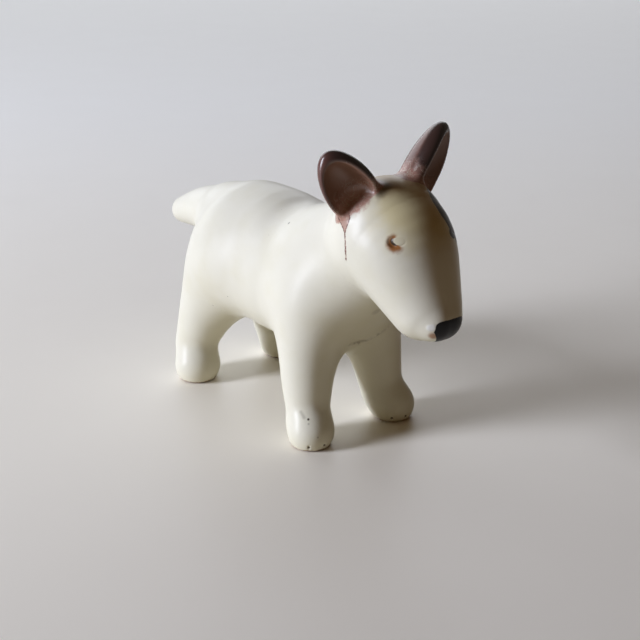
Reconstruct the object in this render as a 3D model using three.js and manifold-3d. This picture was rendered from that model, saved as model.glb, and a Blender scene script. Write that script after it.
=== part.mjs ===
// Stoneware dog figurine: a standing bull terrier, built by hand from nine pieces of clay.
// Millimetres, +X towards the nose, +Y towards the dog's left, +Z up.
// The origin is on the ground, under the middle of the figure.

import * as THREE from "three";
import { mergeVertices } from "three/addons/utils/BufferGeometryUtils.js";
import Module from "manifold-3d";

// Stations on the middle line of each form: x, y, z, and the radius of the clay there.
// Limbs that come in pairs are given for the dog's left side.
const TORSO = [
  [-16.25, 0, 40.75, 16.5],
  [-5, 0, 38.5, 18.5],
  [8, 0, 37.75, 17.25],
  [18.25, 0, 40.75, 15.25],
];
const TORSO_WIDTH = 0.95;
const NECK = [
  [19, 0, 43.5, 13.2],
  [30.25, 0, 49.75, 12.4],
];
const HEAD = [
  [38, 0, 55.5, 13.5],
  [43, 0, 52.25, 12.4],
  [50.75, 0, 42, 8.45],
];
const NOSE = [
  [55, -0.75, 39.75, 5.1],
  [55, 0.75, 39.75, 5.1],
];
const TAIL = [
  [-31.25, 0, 45, 8.5],
  [-44, 0, 44, 6.2],
  [-56.1, 0, 41, 4],
];
const FORELEG = [
  [20.5, 9.75, 33.5, 6.75],
  [20, 10.75, 20.5, 7],
  [21.5, 12, 7, 5.4],
];
const FOREPAW = [24.5, 13.25, 3.5, 5.9];
const HINDLEG = [
  [-17, 9.25, 37.75, 9.25],
  [-24.5, 9.25, 27.75, 9.25],
  [-30.75, 13.25, 10.25, 5.8],
];
const HINDPAW = [-28.25, 14.5, 4.25, 6.4];

// Each ear is a bent oval blade with a dish pressed into its open side. The right one stands lower.
// Heights along an ear are shares of its length, and a dish lies a little behind the blade's middle.
const EAR_BASE = [36, 7.5, 64.25];
const EAR_TIP = [37, 17.5, 79];
const RIGHT_EAR_DROP = 2.5;
const EAR_OPENING = [0.86, 0.51, 0];
const EAR = { widest: 0.28, above: 0.72, below: 0.68, halfWidth: 6, halfThickness: 4.1, bend: 0.056 };
const DISH = { widest: 0.28, reach: 0.67, halfWidth: 5.3, halfDepth: 3.6, out: 3.2, back: 0.4 };
const DISH_CLEAR_OF_HEAD = 0.2;

// How far the wet clay is smoothed across each join.
const FORELEG_BLEND = 10;
const HINDLEG_BLEND = 11;
const TAIL_BLEND = 8;
const NECK_BLEND = 8;
const HEAD_BLEND = 2;
const NOSE_BLEND = 1;
const EAR_BLEND = 2.5;
const PAW_BLEND = 3;

// Flat luted joints: a point on the cut, and its normal from the larger piece to the smaller one.
const NECK_JOINT = { point: [31.75, 0, 51.75], normal: [0.8, 0, 0.6] };
const TAIL_JOINT = { point: [-37, 0, 45], normal: [-1, 0, -0.1] };
const FORELEG_JOINT = { point: [20.25, 10.5, 23], normal: [0.25, 0.5, -0.83] };
const HINDLEG_JOINT = { point: [-22.25, 10.5, 23.5], normal: [-0.2, 0.6, -0.77] };
const EAR_JOINT_HEIGHT = 2.5;
const SLIP_LINE = 0.3;
const GROUND = { point: [0, 0, 0], normal: [0, 0, 1] };

// Marks pressed into the clay: the eyes, and the notches between the toes of the forepaws.
const EYE = { at: [50.25, 8.55, 57.8], radius: 2.2, depth: 1 };
const TOE_NOTCH = { radius: 0.5, length: 2.4, height: 1.6, turns: [-40, 0, 42] };

// The block of space that each piece is cut from, with paired pieces on the left side.
const TORSO_BLOCK = { low: [-44, -24, 10], high: [46, 24, 70] };
const HEAD_BLOCK = { low: [18, -20, 30], high: [66, 20, 78] };
const EAR_BLOCK = { low: [24, -2, 58], high: [50, 28, 88] };
const TAIL_BLOCK = { low: [-66, -14, 32], high: [-30, 14, 58] };
const FORELEG_BLOCK = { low: [4, -3, -5], high: [40, 26, 38] };
const HINDLEG_BLOCK = { low: [-42, -3, -5], high: [-4, 26, 38] };

// Facet sizes, smaller where the form is finer.
const TORSO_FACET = 2.8;
const HEAD_FACET = 2.1;
const LIMB_FACET = 2;
const EAR_FACET = 1.3;
const TOOL_FACETS = { around: 24, along: 16 };
const STICK_FACETS = { around: 8, cap: 3 };

// Glazes of the body and of the ears.
const CREAM = { color: 0xd9d2c3, roughness: 0.35 };
const BROWN = { color: 0x3a2a22, roughness: 0.4 };

const SIDES = { left: 1, right: -1 };
const SPINE_STEPS = 10;
const SETTLING_ROUNDS = 2;
const PROBE = 0.05;
const SAME_POINT = 1e-4;
const LEAST_SLOPE = 1e-6;
const HALF_SPACE_SIZE = 300;

const wasm = await Module();
wasm.setup();

// Distance to one round cone, the hull of two balls.
function roundCone(start, end) {
  const along = end.at.clone().sub(start.at);
  const length2 = along.lengthSq();
  const drop = start.r - end.r;
  const slant2 = length2 - drop * drop;
  const offset = new THREE.Vector3();
  return (x, y, z) => {
    offset.set(x, y, z).sub(start.at);
    const past = offset.dot(along);
    const over = past - length2;
    const off2 = offset.multiplyScalar(length2).addScaledVector(along, -past).lengthSq();
    const past2 = past * past * length2;
    const over2 = over * over * length2;
    const taper = Math.sign(drop) * drop * drop * off2;
    if (Math.sign(over) * slant2 * over2 > taper) return Math.sqrt(off2 + over2) / length2 - end.r;
    if (Math.sign(past) * slant2 * past2 < taper) return Math.sqrt(off2 + past2) / length2 - start.r;
    return (Math.sqrt((off2 * slant2) / length2) + past * drop) / length2 - start.r;
  };
}

// Clay swept along a smooth line through the stations, on one side of the dog.
function limb(stations, side = SIDES.left, width = 1) {
  const middle = stations.map(([x, y, z]) => new THREE.Vector3(x, (y * side) / width, z));
  const girths = stations.map(([, , , r]) => new THREE.Vector3(r, 0, 0));
  const line = new THREE.CatmullRomCurve3(middle, false, "catmullrom");
  const girth = new THREE.CatmullRomCurve3(girths, false, "catmullrom");
  const balls = Array.from({ length: SPINE_STEPS + 1 }, (_, i) => ({
    at: line.getPoint(i / SPINE_STEPS),
    r: girth.getPoint(i / SPINE_STEPS).x,
  }));
  const cones = balls.slice(1).map((ball, i) => roundCone(balls[i], ball));
  return (x, y, z) => {
    let nearest = Infinity;
    for (const cone of cones) nearest = Math.min(nearest, cone(x, y / width, z));
    return nearest * width;
  };
}

// Two forms smoothed into each other over a width of clay.
function blend(a, b, width) {
  const near = Math.max(width - Math.abs(a - b), 0) / width;
  return Math.min(a, b) - (near * near * width) / 4;
}

function leg(stations, [pawX, pawY, pawZ, pawRadius], side) {
  const shank = limb(stations, side);
  return (x, y, z) => {
    const paw = Math.hypot(x - pawX, y - pawY * side, z - pawZ) - pawRadius;
    return blend(shank(x, y, z), paw, PAW_BLEND);
  };
}

function mirrored([x, y, z], side) {
  return [x, y * side, z];
}

// Base and length of one ear, and its axes: u to the tip, v across the blade, w out of the open side.
function earFrame(side) {
  const base = new THREE.Vector3(...mirrored(EAR_BASE, side));
  const tip = new THREE.Vector3(...mirrored(EAR_TIP, side));
  if (side === SIDES.right) tip.z -= RIGHT_EAR_DROP;
  const length = tip.distanceTo(base);
  const u = tip.sub(base).normalize();
  const w = new THREE.Vector3(...mirrored(EAR_OPENING, side));
  w.addScaledVector(u, -w.dot(u)).normalize();
  return { base, length, u, v: w.clone().cross(u), w };
}

// The blade of an ear before its dish is pressed: an oval body bent towards the open side.
function earBlade(side) {
  const frame = earFrame(side);
  const offset = new THREE.Vector3();
  return (x, y, z) => {
    offset.set(x, y, z).sub(frame.base);
    const height = offset.dot(frame.u) - EAR.widest * frame.length;
    const across = offset.dot(frame.v);
    const lift = offset.dot(frame.w) - EAR.bend * across * across;
    const halfLength = frame.length * (height > 0 ? EAR.above : EAR.below);
    const a = height / halfLength;
    const b = across / EAR.halfWidth;
    const c = lift / EAR.halfThickness;
    const reach = Math.hypot(a, b, c);
    const slopeC = c / EAR.halfThickness;
    const slopeB = b / EAR.halfWidth - 2 * EAR.bend * across * slopeC;
    return (reach * (reach - 1)) / Math.max(Math.hypot(a / halfLength, slopeB, slopeC), LEAST_SLOPE);
  };
}

// The whole dog as one smoothed lump of clay: negative inside, positive outside.
function clay() {
  const torso = limb(TORSO, SIDES.left, TORSO_WIDTH);
  const neck = limb(NECK);
  const head = limb(HEAD);
  const nose = limb(NOSE);
  const tail = limb(TAIL);
  const legs = Object.values(SIDES).flatMap((side) => [
    { form: leg(FORELEG, FOREPAW, side), width: FORELEG_BLEND },
    { form: leg(HINDLEG, HINDPAW, side), width: HINDLEG_BLEND },
  ]);
  const ears = Object.values(SIDES).map(earBlade);
  return (x, y, z) => {
    let body = torso(x, y, z);
    for (const { form, width } of legs) body = blend(body, form(x, y, z), width);
    body = blend(body, tail(x, y, z), TAIL_BLEND);
    body = blend(body, neck(x, y, z), NECK_BLEND);
    let face = blend(head(x, y, z), nose(x, y, z), NOSE_BLEND);
    for (const form of ears) face = blend(face, form(x, y, z), EAR_BLEND);
    return blend(body, face, HEAD_BLEND);
  };
}

// Direction and rate in which a form's distance grows.
function slopeOf(form, x, y, z) {
  return [
    form(x + PROBE, y, z) - form(x - PROBE, y, z),
    form(x, y + PROBE, z) - form(x, y - PROBE, z),
    form(x, y, z + PROBE) - form(x, y, z - PROBE),
  ].map((rise) => rise / (2 * PROBE));
}

// Distances at the points of a grid, with its outer layer counted as air so that the skin closes.
function sample(form, low, counts, facet) {
  const [nx, ny, nz] = counts;
  const values = new Float64Array(nx * ny * nz);
  let n = 0;
  for (let i = 0; i < nx; i++) {
    for (let j = 0; j < ny; j++) {
      for (let k = 0; k < nz; k++) {
        const outer = [i, j, k].some((c, axis) => c === 0 || c === counts[axis] - 1);
        const here = [i, j, k].map((c, axis) => low[axis] + c * facet);
        values[n] = outer ? facet : form(...here);
        n += 1;
      }
    }
  }
  return values;
}

// Middle of the places where the surface crosses the edges of one grid cell, in cell units.
function crossing(corners) {
  const bits = [4, 2, 1];
  const sum = [0, 0, 0];
  let count = 0;
  for (let a = 0; a < corners.length; a++) {
    for (const bit of bits) {
      const b = a | bit;
      if (a === b || (corners[a] < 0) === (corners[b] < 0)) continue;
      const share = corners[a] / (corners[a] - corners[b]);
      bits.forEach((mask, axis) => {
        sum[axis] += mask === bit ? share : Number((a & mask) > 0);
      });
      count += 1;
    }
  }
  return sum.map((s) => s / count);
}

// Skin of the clay inside a block: a point in every grid cell that it crosses, joined into facets.
function skin(form, { low, high }, facet) {
  const counts = low.map((l, axis) => Math.ceil((high[axis] - l) / facet) + 1);
  const strides = [counts[1] * counts[2], counts[2], 1];
  const at = (place) => place[0] * strides[0] + place[1] * strides[1] + place[2];
  const toCorners = Array.from({ length: 8 }, (_, c) => at([c >> 2, (c >> 1) & 1, c & 1]));
  const values = sample(form, low, counts, facet);
  const points = [];
  const pointOf = new Map();
  for (let i = 0; i < counts[0] - 1; i++) {
    for (let j = 0; j < counts[1] - 1; j++) {
      for (let k = 0; k < counts[2] - 1; k++) {
        const cell = at([i, j, k]);
        const corners = toCorners.map((step) => values[cell + step]);
        const inside = corners.filter((value) => value < 0).length;
        if (inside === 0 || inside === corners.length) continue;
        const middle = crossing(corners);
        pointOf.set(cell, points.length / 3);
        points.push(...[i, j, k].map((c, axis) => low[axis] + (c + middle[axis]) * facet));
      }
    }
  }
  settle(points, form, facet);
  const geometry = new THREE.BufferGeometry();
  geometry.setAttribute("position", new THREE.Float32BufferAttribute(points, 3));
  geometry.setIndex(facets(values, strides, pointOf));
  return geometry;
}

// Two triangles across every grid edge that passes through the skin, facing out of the clay.
function facets(values, strides, pointOf) {
  const corners = [];
  for (const cell of pointOf.keys()) {
    strides.forEach((next, axis) => {
      if ((values[cell] < 0) === (values[cell + next] < 0)) return;
      const e = strides[(axis + 1) % 3];
      const f = strides[(axis + 2) % 3];
      const ring = [cell - e - f, cell - f, cell, cell - e].map((c) => pointOf.get(c));
      if (values[cell] >= 0) ring.reverse();
      corners.push(ring[0], ring[1], ring[2], ring[0], ring[2], ring[3]);
    });
  }
  return corners;
}

// Moves the points of the skin onto the clay's true surface, apart from those on the block's sides.
function settle(points, form, facet) {
  for (let n = 0; n < points.length; n += 3) {
    for (let round = 0; round < SETTLING_ROUNDS; round++) {
      const [x, y, z] = points.slice(n, n + 3);
      const gap = form(x, y, z);
      if (Math.abs(gap) > facet / 2) break;
      const slope = slopeOf(form, x, y, z);
      const steepness = slope.reduce((sum, s) => sum + s * s, 0);
      slope.forEach((s, axis) => {
        points[n + axis] -= (gap * s) / steepness;
      });
    }
  }
}

function solid(geometry) {
  const vertProperties = new Float32Array(geometry.attributes.position.array);
  const triVerts = new Uint32Array(geometry.index.array);
  return new wasm.Manifold(new wasm.Mesh({ numProp: 3, vertProperties, triVerts }));
}

// A plain body as a solid, with only its corner points kept.
function plainSolid(geometry) {
  const bare = geometry.clone();
  bare.deleteAttribute("normal");
  bare.deleteAttribute("uv");
  return solid(mergeVertices(bare, SAME_POINT));
}

// The space on the far side of a flat cut, held back from it by half the slip line.
function beyond(joint, gap = SLIP_LINE / 2) {
  const up = new THREE.Vector3(0, 0, 1);
  const normal = new THREE.Vector3(...joint.normal).normalize();
  const block = new THREE.BoxGeometry(HALF_SPACE_SIZE, HALF_SPACE_SIZE, HALF_SPACE_SIZE);
  block.translate(0, 0, HALF_SPACE_SIZE / 2 + gap);
  block.applyQuaternion(new THREE.Quaternion().setFromUnitVectors(up, normal));
  block.translate(...joint.point);
  return plainSolid(block);
}

function behind(joint) {
  return beyond({ point: joint.point, normal: joint.normal.map((n) => -n) });
}

function jointOn(side, joint) {
  return { point: mirrored(joint.point, side), normal: mirrored(joint.normal, side) };
}

function blockOn(side, block) {
  const ends = [mirrored(block.low, side), mirrored(block.high, side)];
  const lowest = ends[0].map((c, axis) => Math.min(c, ends[1][axis]));
  const highest = ends[0].map((c, axis) => Math.max(c, ends[1][axis]));
  return { low: lowest, high: highest };
}

function earJoint(side) {
  const { base, u } = earFrame(side);
  const point = base.clone().addScaledVector(u, EAR_JOINT_HEIGHT);
  return { point: point.toArray(), normal: u.toArray() };
}

function keep(body, ...spaces) {
  return spaces.reduce((left, space) => left.intersect(space), body);
}

// The dish of an ear is pressed with an oval tool, bent as the blade is, that stops short of the head.
function dishTool(side) {
  const { base, length, u, v, w } = earFrame(side);
  const centre = base.clone().addScaledVector(u, DISH.widest * length);
  centre.addScaledVector(v, -DISH.back * side).addScaledVector(w, DISH.out);
  const oval = new THREE.SphereGeometry(1, TOOL_FACETS.around, TOOL_FACETS.along);
  oval.scale(DISH.reach * length, DISH.halfWidth, DISH.halfDepth);
  const points = oval.attributes.position;
  for (let i = 0; i < points.count; i++) {
    points.setZ(i, points.getZ(i) + EAR.bend * points.getY(i) ** 2);
  }
  oval.applyMatrix4(new THREE.Matrix4().makeBasis(u, v, w).setPosition(centre));
  const head = limb(HEAD);
  const kept = (x, y, z) => head(x, y, z) - DISH_CLEAR_OF_HEAD;
  return plainSolid(oval).subtract(solid(skin(kept, HEAD_BLOCK, HEAD_FACET)));
}

// An eye is pressed into the head with a round-ended tool.
function eyeTool(form, side) {
  const place = mirrored(EYE.at, side);
  const outward = new THREE.Vector3(...slopeOf(form, ...place)).normalize();
  const radius = (EYE.radius ** 2 + EYE.depth ** 2) / (2 * EYE.depth);
  const centre = new THREE.Vector3(...place).addScaledVector(outward, radius - EYE.depth);
  const tool = new THREE.SphereGeometry(radius, TOOL_FACETS.around, TOOL_FACETS.along);
  return plainSolid(tool.translate(...centre));
}

// The notches between the toes are pressed into the front of a paw with the side of a stick.
function toeTool([pawX, pawY, pawZ, pawRadius], side, turn) {
  const below = pawZ - TOE_NOTCH.height;
  const reach = Math.sqrt(pawRadius ** 2 - below ** 2);
  const { cap, around } = STICK_FACETS;
  const stick = new THREE.CapsuleGeometry(TOE_NOTCH.radius, TOE_NOTCH.length, cap, around);
  stick.rotateX(Math.PI / 2).rotateY(Math.asin(below / pawRadius));
  stick.translate(reach, 0, TOE_NOTCH.height).rotateZ(THREE.MathUtils.degToRad(turn * side));
  return plainSolid(stick.translate(pawX, pawY * side, 0));
}

function makeTorso(form) {
  const body = solid(skin(form, TORSO_BLOCK, TORSO_FACET));
  const legJoints = Object.values(SIDES).flatMap((side) => [
    jointOn(side, FORELEG_JOINT),
    jointOn(side, HINDLEG_JOINT),
  ]);
  return keep(body, ...[NECK_JOINT, TAIL_JOINT, ...legJoints].map(behind));
}

function makeHead(form) {
  const sides = Object.values(SIDES);
  const body = solid(skin(form, HEAD_BLOCK, HEAD_FACET));
  const head = keep(body, beyond(NECK_JOINT), ...sides.map((side) => behind(earJoint(side))));
  const tools = sides.flatMap((side) => [dishTool(side), eyeTool(form, side)]);
  return tools.reduce((left, tool) => left.subtract(tool), head);
}

function makeEar(form, side) {
  const body = solid(skin(form, blockOn(side, EAR_BLOCK), EAR_FACET));
  return keep(body, beyond(earJoint(side))).subtract(dishTool(side));
}

function makeTail(form) {
  const body = solid(skin(form, TAIL_BLOCK, LIMB_FACET));
  return keep(body, beyond(TAIL_JOINT));
}

// A leg from its luted joint down to the flat sole.
function makeLeg(form, side, joint, block) {
  const body = solid(skin(form, blockOn(side, block), LIMB_FACET));
  return keep(body, beyond(jointOn(side, joint)), beyond(GROUND, 0));
}

function makeForeleg(form, side) {
  const whole = makeLeg(form, side, FORELEG_JOINT, FORELEG_BLOCK);
  return TOE_NOTCH.turns.reduce((left, turn) => left.subtract(toeTool(FOREPAW, side, turn)), whole);
}

function makeHindleg(form, side) {
  return makeLeg(form, side, HINDLEG_JOINT, HINDLEG_BLOCK);
}

// A piece of the figure, with its own origin on the joint that carries it.
function piece(name, body, joint, glaze, carrier = GROUND) {
  const made = body.getMesh();
  const geometry = new THREE.BufferGeometry();
  geometry.setAttribute("position", new THREE.Float32BufferAttribute(made.vertProperties, 3));
  geometry.setIndex(Array.from(made.triVerts));
  geometry.translate(...joint.point.map((c) => -c));
  geometry.computeVertexNormals();
  const mesh = new THREE.Mesh(geometry, new THREE.MeshStandardMaterial({ ...glaze, metalness: 0 }));
  mesh.name = name;
  mesh.position.set(...joint.point.map((c, axis) => c - carrier.point[axis]));
  return mesh;
}

// The head and its ears, placed from the neck joint.
function headGroup(form) {
  const group = new THREE.Group();
  group.position.set(...NECK_JOINT.point);
  group.add(piece("head", makeHead(form), NECK_JOINT, CREAM, NECK_JOINT));
  for (const [name, side] of Object.entries(SIDES)) {
    group.add(piece(`ear_${name}`, makeEar(form, side), earJoint(side), BROWN, NECK_JOINT));
  }
  return group;
}

function bodyGroup(form) {
  const group = new THREE.Group();
  group.add(piece("torso", makeTorso(form), GROUND, CREAM));
  group.add(piece("tail", makeTail(form), TAIL_JOINT, CREAM));
  for (const [name, side] of Object.entries(SIDES)) {
    const fore = jointOn(side, FORELEG_JOINT);
    const hind = jointOn(side, HINDLEG_JOINT);
    group.add(piece(`foreleg_${name}`, makeForeleg(form, side), fore, CREAM));
    group.add(piece(`hindleg_${name}`, makeHindleg(form, side), hind, CREAM));
  }
  return group;
}

function figurine() {
  const form = clay();
  const dog = new THREE.Group();
  dog.add(bodyGroup(form), headGroup(form));
  return dog;
}

export default figurine();
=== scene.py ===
"""Glazed looks of a stoneware dog figurine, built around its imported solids."""

import functools
import math

import bmesh
import bpy
import numpy as np
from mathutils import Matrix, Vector


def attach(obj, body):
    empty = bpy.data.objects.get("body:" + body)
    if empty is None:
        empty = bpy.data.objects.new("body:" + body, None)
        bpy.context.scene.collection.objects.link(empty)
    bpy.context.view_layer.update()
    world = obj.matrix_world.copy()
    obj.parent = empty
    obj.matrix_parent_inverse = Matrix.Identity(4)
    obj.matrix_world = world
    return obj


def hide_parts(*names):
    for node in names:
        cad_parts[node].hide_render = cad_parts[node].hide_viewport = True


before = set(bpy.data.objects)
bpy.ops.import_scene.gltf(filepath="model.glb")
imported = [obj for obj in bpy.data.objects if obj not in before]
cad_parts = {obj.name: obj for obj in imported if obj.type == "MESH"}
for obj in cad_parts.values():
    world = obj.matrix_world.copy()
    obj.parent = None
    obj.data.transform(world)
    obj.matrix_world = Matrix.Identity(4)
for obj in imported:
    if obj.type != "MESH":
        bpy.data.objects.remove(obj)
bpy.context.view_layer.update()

# The clay is described in millimetres, and Blender's objects are in metres.
MM = 0.001
SIDES = {"left": 1, "right": -1}

# Stations on the middle line of each form: x, y, z, and the radius of the clay there.
# Limbs that come in pairs are given for the dog's left side.
TORSO = ((-16.25, 0, 40.75, 16.5), (-5, 0, 38.5, 18.5), (8, 0, 37.75, 17.25), (18.25, 0, 40.75, 15.25))
TORSO_WIDTH = 0.95
NECK = ((19, 0, 43.5, 13.2), (30.25, 0, 49.75, 12.4))
HEAD = ((38, 0, 55.5, 13.5), (43, 0, 52.25, 12.4), (50.75, 0, 42, 8.45))
NOSE = ((55, -0.75, 39.75, 5.1), (55, 0.75, 39.75, 5.1))
TAIL = ((-31.25, 0, 45, 8.5), (-44, 0, 44, 6.2), (-56.1, 0, 41, 4))
FORELEG = ((20.5, 9.75, 33.5, 6.75), (20, 10.75, 20.5, 7), (21.5, 12, 7, 5.4))
FOREPAW = (24.5, 13.25, 3.5, 5.9)
HINDLEG = ((-17, 9.25, 37.75, 9.25), (-24.5, 9.25, 27.75, 9.25), (-30.75, 13.25, 10.25, 5.8))
HINDPAW = (-28.25, 14.5, 4.25, 6.4)
SPINE_STEPS = 10

# Each ear is a bent oval blade with a dish pressed into its open side. The right one stands lower.
# Heights along an ear are shares of its length. A dish lies a little behind the blade's middle, and
# runs out towards the base.
EAR_BASE = (36, 7.5, 64.25)
EAR_TIP = (37, 17.5, 79)
RIGHT_EAR_DROP = 2.5
EAR_OPENING = (0.86, 0.51, 0)
EAR = {"widest": 0.28, "above": 0.72, "below": 0.68, "half_width": 6, "half_depth": 4.1, "bend": 0.056}
DISH = {"widest": 0.28, "above": 0.67, "below": 0.52, "half_width": 5.3, "half_depth": 3.6, "bend": 0.056}
DISH_OUT = 3.2
DISH_BACK = 0.4
DISH_RUN_OUT = 0.3
EAR_RIM_ROUNDING = 0.8

# How far the wet clay is smoothed across each join.
FORELEG_BLEND = 10
HINDLEG_BLEND = 11
TAIL_BLEND = 8
NECK_BLEND = 8
HEAD_BLEND = 2
NOSE_BLEND = 1
EAR_BLEND = 2.5
PAW_BLEND = 3
SOLE_ROUNDING = 0.5

# Flat luted joints: a point on the cut, and its normal from the larger piece to the smaller one.
NECK_JOINT = ((31.75, 0, 51.75), (0.8, 0, 0.6))
TAIL_JOINT = ((-37, 0, 45), (-1, 0, -0.1))
FORELEG_JOINT = ((20.25, 10.5, 23), (0.25, 0.5, -0.83))
HINDLEG_JOINT = ((-22.25, 10.5, 23.5), (-0.2, 0.6, -0.77))
EAR_JOINT_HEIGHT = 2.5

# Marks pressed into the clay or left on it by hand.
EYE_AT = (50.25, 8.55, 57.8)
EYE_LID = {"front": 0.45, "up": 0.5, "half_length": 1.25, "half_height": 0.82}
EYE_GROOVE = {"reach": 1.35, "radius": 0.48, "evenness": 0.4}
EYE_DEEP_TURN = math.radians(-30)
EYE_SOFTNESS = 0.4
TOE_NOTCH = {"radius": 0.2, "length": 0.7, "height": 1.6, "turns": (-40, 0, 42)}
TOE_SOFTNESS = 0.4
SEAM = ((26.3, -2.6, 24.5), (25.8, 3.3, 24), (27.7, 5.5, 25.9), (28.7, 8.3, 27.7))
SEAM_HEIGHT = 0.36
SEAM_WIDTH = 0.42
NOSE_DROP = {"start": (58.0, -4.9, 39.5), "end": (58.5, -4.4, 39.6), "height": 0.12, "radius": 0.8}
LUMP_HEIGHT = 0.05
LUMP_SPACING = 5

# The block of space that each piece is cut from, with paired pieces on the left side.
TORSO_BLOCK = ((-44, -24, 10), (46, 24, 70))
HEAD_BLOCK = ((18, -20, 30), (66, 20, 78))
EAR_BLOCK = ((24, -2, 58), (50, 28, 88))
TAIL_BLOCK = ((-66, -14, 32), (-30, 14, 58))
FORELEG_BLOCK = ((4, -3, -5), (40, 26, 38))
HINDLEG_BLOCK = ((-42, -3, -5), (-4, 26, 38))

# Facet sizes of the fine skin. It is divided further within a radius of each mark.
BODY_FACET = 0.9
LIMB_FACET = 0.7
EAR_FACET = 0.45
DIVISIONS = 2
FINE_RADIUS = {"seam": 2.2, "eye": 3.4, "nose": 2.4, "toe": 1.8}
CELL_CORNERS = list(np.ndindex(2, 2, 2))
CELL_STEPS = np.eye(3, dtype=int)
PROBE = 0.03
SETTLING_ROUNDS = 3


def mirrored(point, side):
    """A point or direction of the left side, on the given side."""
    return np.array(point, float) * (1, side, 1)


def spine(stations, side, width):
    """Balls along a smooth line through the stations, each with its centre and radius."""
    rows = np.array(stations, float) * (1, side / width, 1, 1)
    line = np.vstack([2 * rows[0] - rows[1], rows, 2 * rows[-1] - rows[-2]])
    balls = []
    for t in np.linspace(0, len(rows) - 1, SPINE_STEPS + 1):
        i = min(int(t), len(rows) - 2)
        a, b, c, d = line[i:i + 4]
        f = t - i
        bend = (2 * a - 5 * b + 4 * c - d) * f**2 + (3 * b - a - 3 * c + d) * f**3
        balls.append(b + 0.5 * ((c - a) * f + bend))
    return np.array(balls)


def round_cone(p, start, end):
    """Distance to the hull of two balls."""
    along = end[:3] - start[:3]
    length2 = along @ along
    drop = start[3] - end[3]
    slant2 = length2 - drop**2
    offset = p - start[:3]
    past = offset @ along
    over = past - length2
    off2 = np.square(offset * length2 - past[:, None] * along).sum(1)
    past2 = past**2 * length2
    over2 = over**2 * length2
    taper = np.sign(drop) * drop**2 * off2
    side = (np.sqrt(off2 * slant2 / length2) + past * drop) / length2 - start[3]
    near = np.sqrt(off2 + past2) / length2 - start[3]
    far = np.sqrt(off2 + over2) / length2 - end[3]
    side = np.where(np.sign(past) * slant2 * past2 < taper, near, side)
    return np.where(np.sign(over) * slant2 * over2 > taper, far, side)


def limb(p, stations, side=1, width=1):
    """Distance to clay swept along a smooth line through the stations."""
    balls = spine(stations, side, width)
    squeezed = p / (1, width, 1)
    return width * np.min([round_cone(squeezed, a, b) for a, b in zip(balls, balls[1:])], axis=0)


def blend(a, b, width):
    """Two forms smoothed into each other over a width of clay."""
    near = np.maximum(width - np.abs(a - b), 0) / width
    return np.minimum(a, b) - near**2 * width / 4


def cut_away(a, b, width):
    return -blend(-a, b, width)


def leg(p, stations, paw, side):
    foot = np.linalg.norm(p - mirrored(paw[:3], side), axis=1) - paw[3]
    return blend(limb(p, stations, side), foot, PAW_BLEND)


@functools.lru_cache
def ear_frame(side):
    """Base of an ear, its length, and its axes: u to the tip, v to the front, w out of the open side."""
    base = mirrored(EAR_BASE, side)
    tip = mirrored(EAR_TIP, side)
    if side == SIDES["right"]:
        tip[2] -= RIGHT_EAR_DROP
    length = np.linalg.norm(tip - base)
    u = (tip - base) / length
    w = mirrored(EAR_OPENING, side)
    w -= (w @ u) * u
    w /= np.linalg.norm(w)
    return base, length, u, side * np.cross(w, u), w


def bent_oval(u, v, w, shape, length):
    """Distance to an oval body whose middle sheet bends towards the open side."""
    u = u - shape["widest"] * length
    half_length = length * np.where(u > 0, shape["above"], shape["below"])
    a = u / half_length
    b = v / shape["half_width"]
    c = (w - shape["bend"] * v**2) / shape["half_depth"]
    reach = np.sqrt(a**2 + b**2 + c**2)
    slope_c = c / shape["half_depth"]
    slope_b = b / shape["half_width"] - 2 * shape["bend"] * v * slope_c
    steepness = np.sqrt((a / half_length)**2 + slope_b**2 + slope_c**2)
    return reach * (reach - 1) / np.maximum(steepness, 1e-6)


def ear(p, side):
    base, length, *axes = ear_frame(side)
    u, v, w = ((p - base) @ axis for axis in axes)
    blade = bent_oval(u, v, w, EAR, length)
    shallower = DISH_RUN_OUT * np.maximum(DISH["widest"] * length - u, 0)
    dish = bent_oval(u, v + DISH_BACK, w - DISH_OUT - shallower, DISH, length)
    return cut_away(blade, dish, EAR_RIM_ROUNDING)


def smooth_clay(p):
    """The whole dog before its small marks: negative inside, positive outside."""
    body = limb(p, TORSO, width=TORSO_WIDTH)
    for side in SIDES.values():
        body = blend(body, leg(p, FORELEG, FOREPAW, side), FORELEG_BLEND)
        body = blend(body, leg(p, HINDLEG, HINDPAW, side), HINDLEG_BLEND)
    body = blend(body, limb(p, TAIL), TAIL_BLEND)
    body = blend(body, limb(p, NECK), NECK_BLEND)
    face = blend(limb(p, HEAD), limb(p, NOSE), NOSE_BLEND)
    for side in SIDES.values():
        face = blend(face, ear(p, side), EAR_BLEND)
    return blend(body, face, HEAD_BLEND)


def slope(form, p):
    """Direction and rate in which a form's distance grows."""
    steps = PROBE * np.eye(3)
    return np.stack([form(p + s) - form(p - s) for s in steps], 1) / (2 * PROBE)


@functools.lru_cache
def eye_frame(side):
    """Middle of an eye, and its axes: towards the back of the head, upwards, and out of the clay."""
    at = mirrored(EYE_AT, side)
    out = slope(smooth_clay, at[None])[0]
    out /= np.linalg.norm(out)
    up = np.array((0, 0, 1.0)) - out[2] * out
    up /= np.linalg.norm(up)
    return at, side * np.cross(up, out), up, out


def eye_mark(p, side):
    """Distance to the groove pressed round the lid of an eye, which fades out towards the top front."""
    at, *axes = eye_frame(side)
    back, up, out = ((p - at) @ axis for axis in axes)
    along = (back + EYE_LID["front"]) / EYE_LID["half_length"]
    across = (up - EYE_LID["up"]) / EYE_LID["half_height"]
    off_ring = (np.hypot(along, across) - EYE_GROOVE["reach"]) * EYE_LID["half_height"]
    even = EYE_GROOVE["evenness"]
    depth = even + (1 - even) * np.cos(np.arctan2(up, back) - EYE_DEEP_TURN)
    return np.hypot(off_ring, out) - EYE_GROOVE["radius"] * depth


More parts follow.
